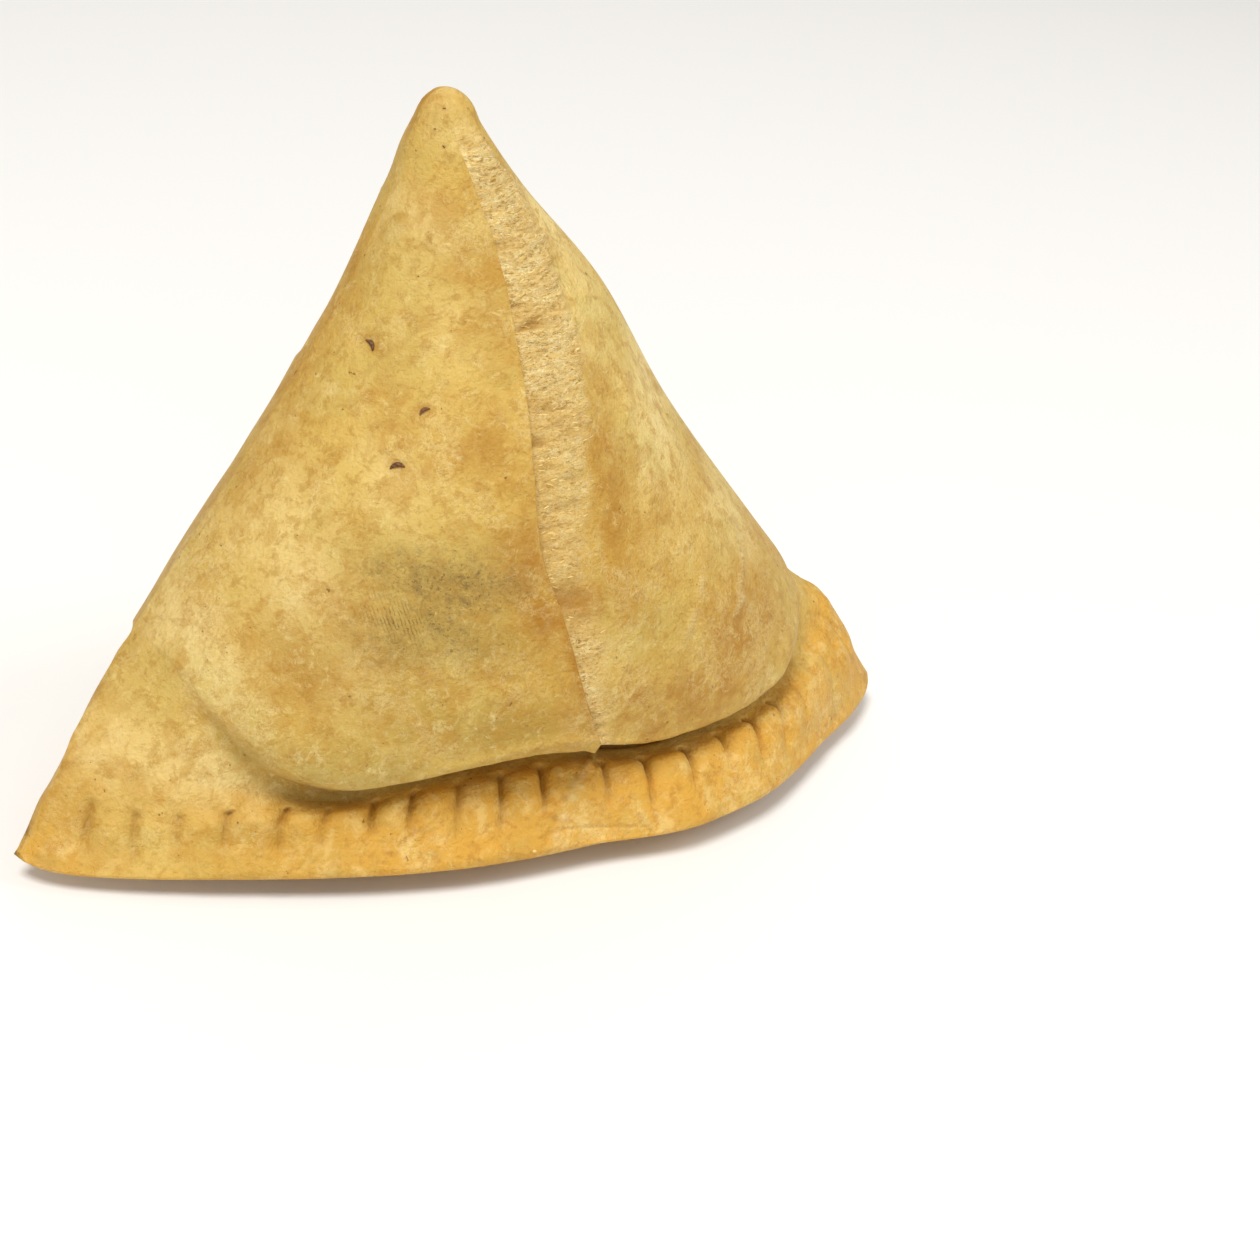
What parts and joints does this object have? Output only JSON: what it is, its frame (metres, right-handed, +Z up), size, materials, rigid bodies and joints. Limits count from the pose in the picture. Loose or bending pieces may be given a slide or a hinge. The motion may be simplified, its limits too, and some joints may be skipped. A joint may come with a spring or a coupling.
{
  "type": "samosa",
  "caption": "Large fried samosa: a filled three-sided cone of wheat dough with a lapped seam down its front and a flat crimped rim along its lower edge.",
  "frame": {"origin": "on the surface it rests on, in the middle of the flat underside", "axes": "+X along the crimped rim from its left corner to its right corner, -Y towards the side with the seam, +Z up towards the tip"},
  "size_m": [0.1217, 0.0601, 0.087],
  "materials": {
    "crust": "fried wheat dough, satin"
  },
  "bodies": {
    "root": {"samosa": "crust"}
  },
  "joints": []
}
